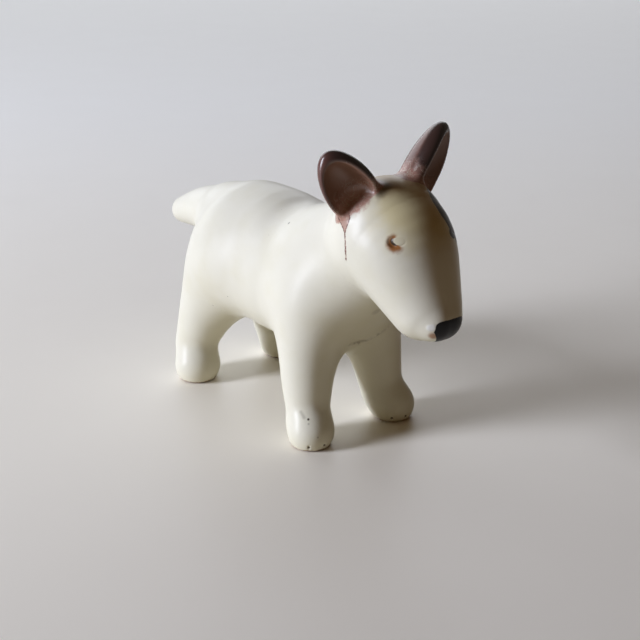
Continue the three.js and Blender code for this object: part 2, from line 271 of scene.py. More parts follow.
def line_distance(p, start, end):
    """Distance to a straight line between two points."""
    start, end = np.array(start, float), np.array(end, float)
    share = np.clip((p - start) @ (end - start) / ((end - start) @ (end - start)), 0, 1)
    return np.linalg.norm(p - start - share[:, None] * (end - start), axis=1)


@functools.lru_cache
def toe_lines(side):
    """Ends of the stick that presses each notch between the toes of a forepaw."""
    x, y, z, r = FOREPAW
    below = z - TOE_NOTCH["height"]
    lean = math.asin(below / r)
    lines = []
    for turn in TOE_NOTCH["turns"]:
        angle = math.radians(turn)
        ends = []
        for half in (-TOE_NOTCH["length"] / 2, TOE_NOTCH["length"] / 2):
            reach = r * math.cos(lean) + half * math.sin(lean)
            place = (x + reach * math.cos(angle), y + reach * math.sin(angle),
                     TOE_NOTCH["height"] + half * math.cos(lean))
            ends.append(mirrored(place, side))
        lines.append(ends)
    return lines


def unevenness(p):
    """Slow waves left by the hand that smoothed the clay."""
    x, y, z = p.T / LUMP_SPACING
    waves = np.sin(x + 1.3 * np.sin(0.7 * z)) * np.sin(1.1 * y + 0.7) + np.sin(0.8 * z - 0.6 * x + 2)
    return LUMP_HEIGHT * waves / 2


def clay(p):
    """The dog with its marks, standing on the ground."""
    form = smooth_clay(p) + unevenness(p)
    ridge = np.min([line_distance(p, a, b) for a, b in zip(SEAM, SEAM[1:])], axis=0)
    form = form - SEAM_HEIGHT * np.exp(-(ridge / SEAM_WIDTH)**2)
    drop = line_distance(p, NOSE_DROP["start"], NOSE_DROP["end"]) / NOSE_DROP["radius"]
    form = form - NOSE_DROP["height"] * np.exp(-drop**4)
    for side in SIDES.values():
        form = cut_away(form, eye_mark(p, side), EYE_SOFTNESS)
        for start, end in toe_lines(side):
            form = cut_away(form, line_distance(p, start, end) - TOE_NOTCH["radius"], TOE_SOFTNESS)
    return cut_away(form, p[:, 2], SOLE_ROUNDING)


def sampled_clay(block, facet):
    """The clay's distance on a grid through a block, whose sides count as outside."""
    low, high = np.array(block, float)
    counts = np.ceil((high - low) / facet).astype(int) + 1
    places = np.stack(np.meshgrid(*map(np.arange, counts), indexing="ij"), -1)
    values = clay(low + facet * places.reshape(-1, 3)).reshape(counts)
    for axis in range(3):
        np.moveaxis(values, axis, 0)[[0, -1]] = facet
    return values


def crossed_cells(inside):
    """Grid cells that have corners both inside and outside the clay."""
    filled = np.zeros(np.array(inside.shape) - 1, int)
    for corner in CELL_CORNERS:
        filled += inside[tuple(slice(c, n - 1 + c) for c, n in zip(corner, inside.shape))]
    return np.argwhere((filled > 0) & (filled < len(CELL_CORNERS)))


def surface_in_cells(values, cells):
    """Mean of the places where the edges of each cell cross the clay's surface."""
    total = np.zeros((len(cells), 3))
    crossings = np.zeros((len(cells), 1))
    for corner in CELL_CORNERS:
        for step in CELL_STEPS:
            if corner @ step:
                continue
            near = values[tuple((cells + corner).T)]
            far = values[tuple((cells + corner + step).T)]
            crosses = (near < 0) != (far < 0)
            share = near / np.where(crosses, near - far, 1)
            total += crosses[:, None] * (corner + share[:, None] * step)
            crossings += crosses[:, None]
    return total / crossings


def surface_quads(inside, cells):
    """A quad between the four cells round each grid edge that crosses the surface, facing outwards."""
    number = np.full(np.array(inside.shape) - 1, -1)
    number[tuple(cells.T)] = np.arange(len(cells))
    quads = []
    for axis in range(3):
        edges = np.argwhere(np.diff(inside, axis=axis))
        e, f = CELL_STEPS[(axis + 1) % 3], CELL_STEPS[(axis + 2) % 3]
        ring = [number[tuple(place.T)] for place in (edges - e - f, edges - f, edges, edges - e)]
        quad = np.stack(ring, 1)
        inwards = ~inside[tuple(edges.T)]
        quad[inwards] = quad[inwards, ::-1]
        quads.append(quad)
    return np.vstack(quads)


def skin(block, facet):
    """Points and quads of the clay's surface in a block, closed at the block's sides."""
    values = sampled_clay(block, facet)
    inside = values < 0
    cells = crossed_cells(inside)
    points = np.array(block[0], float) + facet * (cells + surface_in_cells(values, cells))
    return points, surface_quads(inside, cells)


def settle(points, reach):
    """Points moved onto the clay's true surface, apart from those on the block's sides."""
    for _ in range(SETTLING_ROUNDS):
        gap = clay(points)
        rise = slope(clay, points)
        near = np.abs(gap) < reach
        move = (gap / np.square(rise).sum(1))[:, None] * rise
        points = np.where(near[:, None], points - move, points)
    return points


def divide(bm, spots):
    """Divides the faces near the spots, each given as a centre and a radius."""
    for _ in range(DIVISIONS):
        near = set()
        for centre, radius in spots:
            middle = Vector(centre) * MM
            near.update(v for v in bm.verts if (v.co - middle).length < radius * MM)
        edges = [e for e in bm.edges if e.verts[0] in near and e.verts[1] in near]
        bmesh.ops.subdivide_edges(bm, edges=edges, cuts=1, use_grid_fill=True)


def cap_cuts(bm, cuts):
    """Cuts the mesh at each joint, away from the normal's side, and closes it with a flat face."""
    for point, normal in cuts:
        geom = bm.verts[:] + bm.edges[:] + bm.faces[:]
        made = bmesh.ops.bisect_plane(bm, geom=geom, dist=1e-7, plane_co=Vector(point) * MM,
                                      plane_no=Vector(normal), clear_outer=True)
        edges = [g for g in made["geom_cut"] if isinstance(g, bmesh.types.BMEdge)]
        for face in bmesh.ops.holes_fill(bm, edges=edges, sides=0)["faces"]:
            face.smooth = False


def shade_from_clay(mesh):
    """Normals from the clay itself, so that the light runs across the joints without a break."""
    points = np.empty(3 * len(mesh.vertices))
    mesh.vertices.foreach_get("co", points)
    outward = slope(clay, points.reshape(-1, 3) / MM)
    outward /= np.linalg.norm(outward, axis=1, keepdims=True)
    normals = np.empty((len(mesh.loops), 3))
    for face in mesh.polygons:
        for loop in face.loop_indices:
            normals[loop] = outward[mesh.loops[loop].vertex_index] if face.use_smooth else face.normal
    mesh.normals_split_custom_set(normals)


def make_piece(node, material, block, facet, cuts, spots=()):
    """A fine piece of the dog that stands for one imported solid."""
    points, quads = skin(block, facet)
    mesh = bpy.data.meshes.new(f"{node}_glazed")
    mesh.from_pydata(points * MM, [], quads.tolist())
    bm = bmesh.new()
    bm.from_mesh(mesh)
    divide(bm, spots)
    settled = settle(np.array([v.co for v in bm.verts]) / MM, facet / 2)
    for vert, place in zip(bm.verts, settled):
        vert.co = place * MM
    for face in bm.faces:
        face.smooth = True
    cap_cuts(bm, cuts)
    bmesh.ops.recalc_face_normals(bm, faces=bm.faces)
    bm.to_mesh(mesh)
    bm.free()
    shade_from_clay(mesh)
    mesh.materials.append(material)
    piece = bpy.data.objects.new(f"{node}_glazed", mesh)
    bpy.context.scene.collection.objects.link(piece)
    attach(piece, "root")
    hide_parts(node)


class Glaze:
    """Node tree of one surface, with places in millimetres and short names for its nodes."""

    def __init__(self, name, **settings):
        self.material = bpy.data.materials.new(name)
        self.material.use_nodes = True
        self.tree = self.material.node_tree
        self.shader = self.tree.nodes["Principled BSDF"]
        for key, value in settings.items():
            self.shader.inputs[key].default_value = value
        metres = self.add("ShaderNodeTexCoord").outputs["Object"]
        scaled = self.add("ShaderNodeVectorMath", {0: metres, "Scale": 1 / MM}, operation="SCALE")
        self.place = scaled.outputs["Vector"]

    def add(self, kind, inputs=None, **settings):
        node = self.tree.nodes.new(kind)
        for key, value in settings.items():
            setattr(node, key, value)
        for key, value in (inputs or {}).items():
            self.put(node.inputs[key], value)
        return node

    def put(self, socket, value):
        if isinstance(value, bpy.types.NodeSocket):
            self.tree.links.new(value, socket)
        else:
            socket.default_value = value

    def math(self, operation, a, b=0.0):
        return self.add("ShaderNodeMath", {0: a, 1: b}, operation=operation).outputs[0]

    def plus(self, a, b):
        return self.math("ADD", a, b)

    def minus(self, a, b):
        return self.math("SUBTRACT", a, b)

    def over(self, a, b):
        return self.math("DIVIDE", a, b)

    def both(self, a, b):
        return self.math("MULTIPLY", a, b)

    def either(self, a, b):
        return self.math("MAXIMUM", a, b)

    def clamp(self, value, low, high):
        return self.math("MINIMUM", self.math("MAXIMUM", value, low), high)

    def hypot(self, a, b):
        return self.math("SQRT", self.plus(self.both(a, a), self.both(b, b)))

    def fade(self, value, start, end):
        """0 at the start value, 1 at the end value, and smooth between them."""
        inputs = {"Value": value, "From Min": start, "From Max": end}
        return self.add("ShaderNodeMapRange", inputs, interpolation_type="SMOOTHSTEP").outputs["Result"]

    def span(self, value, low, high):
        """A share from 0 to 1, stretched to run from low to high."""
        inputs = {"Value": value, "To Min": low, "To Max": high}
        return self.add("ShaderNodeMapRange", inputs).outputs["Result"]

    def wander(self, value, size, detail, reach):
        """A value shifted to and fro by noise, by at most the reach."""
        return self.plus(value, self.span(self.noise(size, detail), -reach, reach))

    def noise(self, size, detail=2.0):
        inputs = {"Vector": self.place, "Scale": 1 / size, "Detail": detail}
        return self.add("ShaderNodeTexNoise", inputs).outputs["Fac"]

    def mix(self, share, a, b):
        node = self.add("ShaderNodeMix", {"Factor": share}, data_type="RGBA")
        for socket, value in ((node.inputs[6], a), (node.inputs[7], b)):
            self.put(socket, value if isinstance(value, bpy.types.NodeSocket) else (*value, 1))
        return node.outputs[2]

    def along(self, origin, axis):
        """How far a place lies from an origin along an axis."""
        inputs = {0: self.place, 1: tuple(origin)}
        offset = self.add("ShaderNodeVectorMath", inputs, operation="SUBTRACT").outputs["Vector"]
        inputs = {0: offset, 1: tuple(axis)}
        return self.add("ShaderNodeVectorMath", inputs, operation="DOT_PRODUCT").outputs["Value"]

    def away(self, point):
        inputs = {0: self.place, 1: tuple(point)}
        return self.add("ShaderNodeVectorMath", inputs, operation="DISTANCE").outputs["Value"]

    def near_line(self, start, end):
        """Distance to a straight line between two points."""
        step = np.array(end, float) - np.array(start, float)
        share = self.clamp(self.along(start, step / (step @ step)), 0.0, 1.0)
        walked = self.add("ShaderNodeVectorMath", {0: tuple(step), "Scale": share}, operation="SCALE")
        inputs = {0: walked.outputs["Vector"], 1: tuple(start)}
        nearest = self.add("ShaderNodeVectorMath", inputs, operation="ADD").outputs["Vector"]
        inputs = {0: self.place, 1: nearest}
        return self.add("ShaderNodeVectorMath", inputs, operation="DISTANCE").outputs["Value"]

    def under(self, value, limit, softness):
        """1 where a value is under a limit and 0 where it is over, with a soft edge."""
        return self.fade(value, limit + softness, limit - softness)

    def specks(self, spacing, radius, share):
        """Round dots, scattered through a share of the cells."""
        cells = self.add("ShaderNodeTexVoronoi", {"Vector": self.place, "Scale": 1 / spacing})
        random = self.add("ShaderNodeSeparateColor", {0: cells.outputs["Color"]}).outputs[0]
        dot = self.fade(cells.outputs["Distance"], 1.3 * radius / spacing, 0.7 * radius / spacing)
        return self.math("MULTIPLY", self.math("LESS_THAN", random, share), dot)

    def bump(self, size, depth):
        """Fine ripples in the glaze."""
        inputs = {"Height": self.noise(size, 3), "Distance": depth * MM, "Strength": 1.0}
        node = self.add("ShaderNodeBump", inputs)
        self.put(self.shader.inputs["Normal"], node.outputs["Normal"])

    def finish(self, colour, roughness):
        self.put(self.shader.inputs["Base Color"], colour)
        self.put(self.shader.inputs["Roughness"], roughness)
        return self.material


# Gloss of the cream glaze and of the ears' glaze, the roughness that each has, and its fine ripples.
GLOSS = {"IOR": 1.5, "Specular IOR Level": 0.27}
EAR_GLOSS = {"IOR": 1.5, "Specular IOR Level": 0.6}
SATIN = {"size": 6, "roughness": (0.26, 0.4)}
EAR_SATIN = {"size": 3, "roughness": (0.18, 0.3)}
RIPPLES = {"size": 1.8, "depth": 0.02}
EAR_RIPPLES = {"size": 1.2, "depth": 0.02}

# Colours of the glazes, of the stains in them and of the bare clay. Some of them also carry painted
# light, shade, shadow and highlight, as noted at each.
CREAM = (0.785, 0.775, 0.67)
CREAM_THIN = (0.76, 0.745, 0.62)
BARE_CLAY = (0.36, 0.24, 0.14)
# This dark is iron specks and stains, and is also painted shade along the chest's seam and in the eyes'
# grooves.
IRON_SPECK_AND_SHADE = (0.06, 0.04, 0.025)
BROWN = (0.12, 0.05, 0.04)
# Paler brown inside the dish is painted light, set against the dish's own shade.
BROWN_INSIDE_LIT = (0.27, 0.155, 0.115)
# The darkest brown is painted shade on the front of each ear's rim.
BROWN_RIM_SHADE = (0.03, 0.015, 0.013)
BROWN_THIN = (0.42, 0.235, 0.185)
# Pale brown low in the dish: thin glaze, with painted light against the shade in the dish's bottom.
BROWN_PALE_AND_LIT = (0.6, 0.37, 0.3)
PATCH = (0.03, 0.018, 0.015)
AMBER = (0.29, 0.1, 0.015)
BLACK = (0.006, 0.0055, 0.0055)
# Smoky brown between the ears: a stain, with painted shade from the ears over it.
SMOKE_AND_SHADE = (0.36, 0.225, 0.08)
# Tan on the forehead: a tint of the glaze with painted warm shade over the shaded front of the head.
TAN_AND_SHADE = (0.74, 0.66, 0.38)
# Dark brown beside the right ear: a smear, with the ear's painted shadow on the skull.
SOOT_AND_SHADOW = (0.1, 0.06, 0.03)
# Pale glaze pooled beside the nose, painted paler still as a highlight.
POOLED_GLAZE_AND_HIGHLIGHT = (0.8, 0.81, 0.78)

# Clouds and specks in the cream glaze, and its ragged edge above the bare soles.
CLOUDS = {"size": 9, "shares": (0.42, 0.75)}
SPECKS = {"spacing": 3.2, "radius": 0.12, "share": 0.04}
SOLE_EDGE = {"height": 0.5, "softness": 0.2, "wander": 0.5, "size": 1.5}

# Small stains and pinholes in the body's glaze: place, radius and strength.
STAINS = (
    ((11.1, -9.4, 53.7), 0.5, 0.6),
    ((34.8, -1, 35.5), 1.6, 0.2),
    ((27.1, -15.9, 8.4), 0.42, 0.95),
    ((27.7, -16.3, 7.5), 0.35, 0.3),
    ((30, -15.2, 4.4), 0.35, 0.35),
)
STAIN_CORE = 0.4
SMEAR = {"start": (25, -16.6, 9.8), "end": (26.1, -16.5, 8.7), "radius": 0.75, "strength": 0.3}
# Grime along the chest's seam, with painted shade beside its ridge.
SEAM_DIRT_AND_SHADE = {"reach": (0.9, 0.1), "size": 1.5, "shares": (0.4, 0.6), "strength": 0.22}
TOE_DOT = {"height": 0.4, "reach": (0.5, 0.2)}


def satin(glaze, look):
    """Roughness of a satin gloss, a little uneven."""
    return glaze.span(glaze.noise(look["size"]), *look["roughness"])


def cream_colour(glaze):
    """Cream glaze, warmer where it is thin, with iron specks and bare clay at the soles."""
    cloud = glaze.fade(glaze.noise(CLOUDS["size"], 4), *CLOUDS["shares"])
    colour = glaze.mix(cloud, CREAM, CREAM_THIN)
    colour = glaze.mix(glaze.specks(**SPECKS), colour, IRON_SPECK_AND_SHADE)
    height = glaze.along((0, 0, 0), (0, 0, 1))
    ragged = glaze.wander(height, SOLE_EDGE["size"], 2, SOLE_EDGE["wander"])
    return glaze.mix(glaze.under(ragged, SOLE_EDGE["height"], SOLE_EDGE["softness"]), colour, BARE_CLAY)


def body_glaze():
    """Cream glaze of the body, with stains, grime and painted shade along the chest's seam, and dark toe
    marks.
    """
    glaze = Glaze("cream_glaze", **GLOSS)
    colour = cream_colour(glaze)
    for place, radius, strength in STAINS:
        stain = glaze.fade(glaze.away(place), radius, STAIN_CORE * radius)
        colour = glaze.mix(glaze.both(stain, strength), colour, IRON_SPECK_AND_SHADE)
    smear = glaze.fade(glaze.near_line(SMEAR["start"], SMEAR["end"]), SMEAR["radius"], 0.0)
    colour = glaze.mix(glaze.both(smear, SMEAR["strength"]), colour, IRON_SPECK_AND_SHADE)
    broken = glaze.fade(glaze.noise(SEAM_DIRT_AND_SHADE["size"]), *SEAM_DIRT_AND_SHADE["shares"])
    for start, end in zip(SEAM, SEAM[1:]):
        seam_dirt_and_shade = glaze.both(glaze.fade(glaze.near_line(start, end), *SEAM_DIRT_AND_SHADE["reach"]), broken)
        colour = glaze.mix(glaze.both(seam_dirt_and_shade, SEAM_DIRT_AND_SHADE["strength"]), colour, IRON_SPECK_AND_SHADE)
    for side in SIDES.values():
        for low, high in toe_lines(side):
            middle = low + TOE_DOT["height"] * (high - low)
            colour = glaze.mix(glaze.fade(glaze.away(middle), *TOE_DOT["reach"]), colour, IRON_SPECK_AND_SHADE)
    glaze.bump(**RIPPLES)
    return glaze.finish(colour, satin(glaze, SATIN))


# Where the parts of an ear's brown glaze begin and end: places out from its bent sheet and across it,
# shares of the way to its outline, and heights above its base.
OPEN_SIDE = (-2.4, -1.2)
DISH_EDGE = (0.95, 0.8)
# The rim's front is painted dark as shade.
RIM_SHADE = {"edge": (0.8, 0.92), "front": (-2.5, 2), "strength": 0.9}
THIN = {"heights": (7, 2), "wander": 3, "size": 2.5, "on_back": 0.6}
PALE_AND_LIT_HEIGHTS = (5, 0)
CRACKLE = {"size": 1.3, "widths": (0.03, 0.008), "heights": (8, 2), "strength": 0.4}


def ear_places(glaze, side):
    """Places in an ear's own frame: up along it, across it, and out from its bent sheet."""
    base, _, u, v, w = ear_frame(side)
    across = glaze.along(base, v)
    bend = glaze.both(glaze.both(across, across), EAR["bend"])
    return glaze.along(base, u), across, glaze.minus(glaze.along(base, w), bend)


def ear_reach(glaze, side):
    """How near a place is to the ear's outline: 0 on its middle line, 1 on the outline."""
    height, across, _ = ear_places(glaze, side)
    length = ear_frame(side)[1]
    raised = glaze.minus(height, EAR["widest"] * length)
    return glaze.hypot(glaze.over(raised, EAR["above"] * length), glaze.over(across, EAR["half_width"]))


def brown_colour(glaze, side):
    """Brown glaze: paler in the dish as painted light, with painted shade on the rim's front, thin and
    crackled towards the base, and paler still low in the dish, thin glaze with painted light.
    """
    height, across, out = ear_places(glaze, side)
    reach = ear_reach(glaze, side)
    open_side = glaze.fade(out, *OPEN_SIDE)
    dish = glaze.both(glaze.fade(reach, *DISH_EDGE), open_side)
    colour = glaze.mix(dish, BROWN, BROWN_INSIDE_LIT)
    front = glaze.both(open_side, glaze.fade(across, *RIM_SHADE["front"]))
    rim = glaze.both(glaze.fade(reach, *RIM_SHADE["edge"]), front)
    colour = glaze.mix(glaze.both(rim, RIM_SHADE["strength"]), colour, BROWN_RIM_SHADE)
    ragged = glaze.wander(height, THIN["size"], 4, THIN["wander"])
    thin = glaze.both(glaze.fade(ragged, *THIN["heights"]), glaze.span(open_side, THIN["on_back"], 1))
    colour = glaze.mix(thin, colour, BROWN_THIN)
    # Low in the dish the brown is thin glaze with painted light added.
    colour = glaze.mix(glaze.both(dish, glaze.fade(ragged, *PALE_AND_LIT_HEIGHTS)), colour, BROWN_PALE_AND_LIT)
    vein = glaze.math("ABSOLUTE", glaze.minus(glaze.noise(CRACKLE["size"], 3), 0.5))
    crackle = glaze.both(glaze.fade(vein, *CRACKLE["widths"]), glaze.fade(height, *CRACKLE["heights"]))
    return glaze.mix(glaze.both(crackle, CRACKLE["strength"]), colour, CREAM_THIN)


def ear_glaze(name, side):
    glaze = Glaze(f"brown_glaze_{name}", **EAR_GLOSS)
    glaze.bump(**EAR_RIPPLES)
    return glaze.finish(brown_colour(glaze, side), satin(glaze, EAR_SATIN))


# How low the brown of each ear runs onto the head, and how that border slopes and wanders.
EAR_BORDER = {"left": 1.3, "right": 1.7}
EAR_BORDER_SLOPE = {"depths": (1.5, 4.5), "tilt": 0.5, "rise": 0.12}
EAR_BORDER_EDGE = {"softness": 0.2, "wander": 0.35, "size": 1.5}

# The run of glaze under the right ear: its course, half widths, the share of it that narrows, its ends,
# the side of the head that it lies on, and the dark line along its edges.
DRIP = {"top": (37.5, -12.8, 61.2), "middle": (38.9, -13.5, 54.9), "end": (38.4, -12.9, 51.4)}
DRIP_WIDTHS = (1.3, 0.12)
DRIP_NECK = 0.3
DRIP_ENDS = ((-0.2, -0.05), (1.0, 0.9))
DRIP_CHEEK = -9.0
DRIP_EDGE = {"softness": 0.1, "wander": 0.2, "size": 0.7}
DRIP_LINE = {"reach": (0.35, 0.1), "size": 0.45, "shares": (0.42, 0.5)}
DRIP_STRENGTH = 0.85

# The irregular marking round the left eye, as rounds that overlap: place and radius.
PATCHES = (((46.3, 12, 60.1), 8.5), ((52.6, 6.6, 58), 1.5), ((41.8, 13.5, 54.8), 4.8))
PATCH_EDGE = {"softness": 0.15, "wander": 0.8, "size": 4}

# The nose's black, the stain and drop of glaze beside it with a painted highlight, and the amber of the
# eyes and their dark crescent of painted shade.
NOSE_PAINT = {"middle": (56.2, 0, 38.5), "half_width": 4.15, "rise": 2.6, "taper": 0.56}
NOSE_EDGE = {"softness": 0.08, "wander": 0.12, "size": 1.5, "squareness": 4.0}
NOSE_STAIN = {"middle": (58.1, -4, 37.4), "radius": 1.5, "strength": 0.75}
NOSE_DROP_EDGE = (1.1, 0.4)
EYE_AMBER = {"reach": (2.7, 1.2), "lid": (0.85, 1.15), "turns": (-0.75, -0.3), "strength": 0.95}
EYE_AMBER_EDGE = {"wander": 0.35, "size": 0.9}
# The crescent is painted shade on the deep side of the eye's groove.
EYE_CRESCENT = {"reach": 1.05, "widths": (0.4, 0.15), "turns": (-0.3, 0.3)}

# Warm stains on top of the head, with painted warm shade on the forehead and skull and the right ear's
# painted shadow. Each is full strength within its core, a share of its radius.
FOREHEAD_TINT_AND_SHADE = {"middle": (48, -1, 64), "radius": 14, "strength": 0.9, "tint": TAN_AND_SHADE}
SKULL_SMOKE_AND_SHADE = {"middle": (38, 0, 69), "radius": 9, "strength": 0.85, "tint": SMOKE_AND_SHADE}
SKULL_SOOT_AND_SHADOW = {"start": (42, -6.3, 67), "end": (41.4, -3.6, 68.2), "radius": 2, "strength": 0.7}
TINT_EDGE = {"wander": 3, "size": 4}
TINT_CORE = 0.3


def ear_border_mask(glaze, name, side):
    """Where the brown of an ear runs onto the head."""
    base, _, u, v, w = ear_frame(side)
    shallow, deep = EAR_BORDER_SLOPE["depths"]
    out = glaze.clamp(glaze.along(base, w), shallow, deep)
    drop = glaze.both(glaze.minus(deep, out), EAR_BORDER_SLOPE["tilt"])
    rise = glaze.both(glaze.along(base, v), EAR_BORDER_SLOPE["rise"])
    height = glaze.minus(glaze.plus(glaze.along(base, u), drop), rise)
    ragged = glaze.wander(height, EAR_BORDER_EDGE["size"], 3, EAR_BORDER_EDGE["wander"])
    softness = EAR_BORDER_EDGE["softness"]
    return glaze.fade(ragged, EAR_BORDER[name] - softness, EAR_BORDER[name] + softness)


def drip_masks(glaze):
    """A run of thin glaze down the cheek, and the dark broken line that it narrows to."""
    top, middle, end = (np.array(DRIP[key], float) for key in ("top", "middle", "end"))
    across = np.cross(middle - top, end - top)
    wide, narrow = DRIP_WIDTHS
    down = glaze.along(top, (end - top) / ((end - top) @ (end - top)))
    neck = glaze.either(glaze.minus(1.0, glaze.over(down, DRIP_NECK)), 0.0)
    half_width = glaze.span(neck, narrow, wide)
    off = glaze.math("ABSOLUTE", glaze.along(top, across / np.linalg.norm(across)))
    wobbly = glaze.wander(off, DRIP_EDGE["size"], 2, DRIP_EDGE["wander"])
    run = glaze.under(glaze.minus(wobbly, half_width), 0.0, DRIP_EDGE["softness"])
    first, last = (glaze.fade(down, *ends) for ends in DRIP_ENDS)
    on_cheek = glaze.math("LESS_THAN", glaze.along((0, 0, 0), (0, 1, 0)), DRIP_CHEEK)
    run = glaze.both(run, glaze.both(glaze.both(first, last), on_cheek))
    edge = glaze.fade(glaze.minus(half_width, wobbly), *DRIP_LINE["reach"])
    broken = glaze.fade(glaze.noise(DRIP_LINE["size"], 2), *DRIP_LINE["shares"])
    return run, glaze.both(run, glaze.both(edge, broken))


def patch_mask(glaze):
    """The irregular dark marking round the left eye."""
    mask = 0.0
    for place, radius in PATCHES:
        ragged = glaze.wander(glaze.away(place), PATCH_EDGE["size"], 3, PATCH_EDGE["wander"])
        mask = glaze.either(mask, glaze.under(ragged, radius, PATCH_EDGE["softness"]))
    return mask


def nose_mask(glaze):
    """A shield on the tip of the muzzle that narrows downwards."""
    middle = NOSE_PAINT["middle"]
    height = glaze.along(middle, (0, 0, 1))
    narrowing = glaze.both(glaze.math("MINIMUM", height, 0.0), NOSE_PAINT["taper"])
    half_width = glaze.plus(narrowing, NOSE_PAINT["half_width"])
    across = glaze.over(glaze.along(middle, (0, 1, 0)), half_width)
    rise = glaze.over(glaze.either(height, 0.0), NOSE_PAINT["rise"])
    powers = [glaze.math("POWER", reach, NOSE_EDGE["squareness"]) for reach in (across, rise)]
    ragged = glaze.wander(glaze.plus(*powers), NOSE_EDGE["size"], 2, NOSE_EDGE["wander"])
    inside = glaze.under(ragged, 1.0, NOSE_EDGE["softness"])
    return glaze.both(inside, glaze.math("GREATER_THAN", glaze.along(middle, (1, 0, 0)), 0.0))


def eye_masks(glaze, side):
    """The amber pressed round an eye, open towards the top front, and the dark crescent of painted shade
    inside it, on the groove's deep side.
    """
    at, back, up, _ = eye_frame(side)
    away = glaze.hypot(glaze.along(at, back), glaze.along(at, up))
    deep = math.cos(EYE_DEEP_TURN) * back + math.sin(EYE_DEEP_TURN) * up
    turn = glaze.over(glaze.along(at, deep), glaze.either(away, 0.2))
    lid = at - EYE_LID["front"] * back + EYE_LID["up"] * up
    along = glaze.over(glaze.along(lid, back), EYE_LID["half_length"])
    across = glaze.over(glaze.along(lid, up), EYE_LID["half_height"])
    reach = glaze.hypot(along, across)
    ragged = glaze.wander(away, EYE_AMBER_EDGE["size"], 2, EYE_AMBER_EDGE["wander"])
    ring = glaze.both(glaze.fade(ragged, *EYE_AMBER["reach"]), glaze.fade(reach, *EYE_AMBER["lid"]))
    amber = glaze.both(ring, glaze.fade(turn, *EYE_AMBER["turns"]))
    off = glaze.math("ABSOLUTE", glaze.minus(reach, EYE_CRESCENT["reach"]))
    groove = glaze.fade(off, *EYE_CRESCENT["widths"])
    return amber, glaze.both(groove, glaze.fade(turn, *EYE_CRESCENT["turns"]))


def with_skull_stains_and_shade(glaze, colour):
    """A colour with a tan tint and painted warm shade on the forehead, smoke and painted shade on the
    skull, and a sooty smear with the right ear's painted shadow beside it.
    """
    for stain in (FOREHEAD_TINT_AND_SHADE, SKULL_SMOKE_AND_SHADE):
        uneven = glaze.wander(glaze.away(stain["middle"]), TINT_EDGE["size"], 3, TINT_EDGE["wander"])
        share = glaze.fade(uneven, stain["radius"], TINT_CORE * stain["radius"])
        colour = glaze.mix(glaze.both(share, stain["strength"]), colour, stain["tint"])
    # Painted shadow of the right ear on the skull, with a sooty smear.
    off = glaze.near_line(SKULL_SOOT_AND_SHADOW["start"], SKULL_SOOT_AND_SHADOW["end"])
    ear_shadow_and_soot = glaze.fade(off, SKULL_SOOT_AND_SHADOW["radius"], 0.0)
    return glaze.mix(glaze.both(ear_shadow_and_soot, SKULL_SOOT_AND_SHADOW["strength"]), colour, SOOT_AND_SHADOW)


def with_eyes(glaze, colour):
    for side in SIDES.values():
        amber, crescent = eye_masks(glaze, side)
        colour = glaze.mix(glaze.both(amber, EYE_AMBER["strength"]), colour, AMBER)
        # Painted shade in the deep side of the eye's groove.
        colour = glaze.mix(crescent, colour, IRON_SPECK_AND_SHADE)
    return colour


def with_muzzle_stains(glaze, colour):
    """A colour with the amber stain and the drop of pooled glaze beside the nose, made pale as a painted
    highlight.
    """
    radius = NOSE_STAIN["radius"]
    stain = glaze.fade(glaze.away(NOSE_STAIN["middle"]), radius, TINT_CORE * radius)
    colour = glaze.mix(glaze.both(stain, NOSE_STAIN["strength"]), colour, AMBER)
    drop = glaze.near_line(NOSE_DROP["start"], NOSE_DROP["end"])
    return glaze.mix(glaze.fade(drop, *NOSE_DROP_EDGE), colour, POOLED_GLAZE_AND_HIGHLIGHT)


def with_ear_glaze(glaze, colour):
    """A colour with the brown that comes down from the ears and runs along the cheek."""
    run, line = drip_masks(glaze)
    colour = glaze.mix(glaze.both(run, DRIP_STRENGTH), colour, BROWN_THIN)
    for name, side in SIDES.items():
        colour = glaze.mix(ear_border_mask(glaze, name, side), colour, brown_colour(glaze, side))
    return glaze.mix(line, colour, BROWN)


def head_glaze():
    """Cream glaze of the head with its markings, from the lowest layer to the top one."""
    glaze = Glaze("head_glaze", **GLOSS)
    colour = cream_colour(glaze)
    for add_layer in (with_skull_stains_and_shade, with_eyes, with_muzzle_stains, with_ear_glaze):
        colour = add_layer(glaze, colour)
    colour = glaze.mix(patch_mask(glaze), colour, PATCH)
    colour = glaze.mix(nose_mask(glaze), colour, BLACK)
    glaze.bump(**RIPPLES)
    return glaze.finish(colour, satin(glaze, SATIN))


def joint_on(side, joint):
    point, normal = joint
    return mirrored(point, side), mirrored(normal, side)


def flipped(joint):
    point, normal = joint
    return point, -np.array(normal, float)


def ear_joint(side):
    base, _, u, _, _ = ear_frame(side)
    return base + EAR_JOINT_HEIGHT * u, u


def block_on(side, block):
    ends = [mirrored(corner, side) for corner in block]
    return np.min(ends, axis=0), np.max(ends, axis=0)


